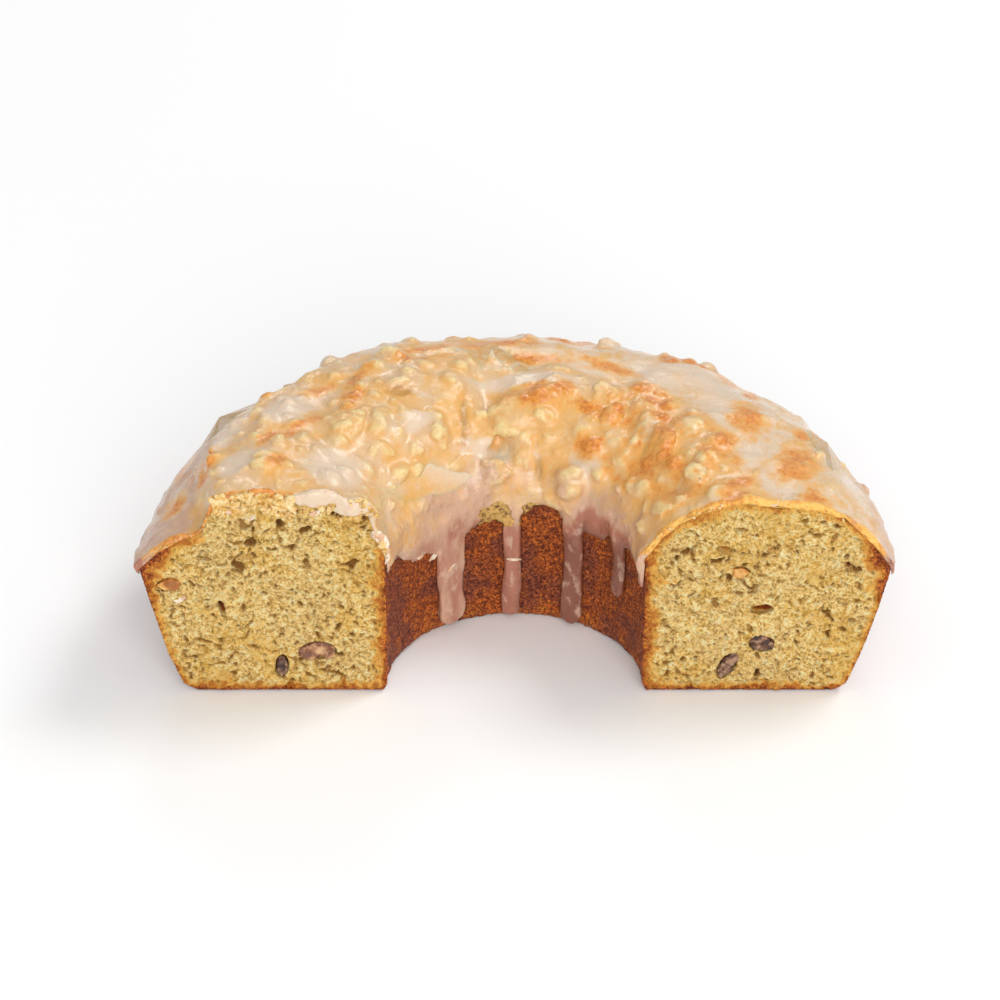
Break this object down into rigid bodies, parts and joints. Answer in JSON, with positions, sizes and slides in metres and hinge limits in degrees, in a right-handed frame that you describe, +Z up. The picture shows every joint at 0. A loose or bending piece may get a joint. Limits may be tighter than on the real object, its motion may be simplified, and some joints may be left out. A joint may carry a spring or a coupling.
{
  "type": "half ring cake",
  "caption": "Half of a glazed ring cake with a baked crumble top, cut straight across, with open crumb and pieces of walnut showing at the cut faces.",
  "frame": {"origin": "on the base plane, below the middle of the half ring's bounding box", "axes": "+X from the left-hand cut face to the right-hand one, +Y away from the cut faces towards the back of the ring, +Z up"},
  "size_m": [0.2172, 0.1107, 0.072],
  "materials": {
    "sponge": "matt baked crumb, pale yellow where cut, with a brown crust",
    "icing": "softly glossy cream-coloured sugar glaze over baked crumble",
    "walnut": "matt brown nut, cut through"
  },
  "bodies": {
    "root": {"sponge": "sponge", "crumble_icing": "icing", "walnut_1": "walnut", "walnut_2": "walnut", "walnut_3": "walnut", "walnut_4": "walnut", "walnut_5": "walnut", "walnut_6": "walnut"}
  },
  "joints": []
}
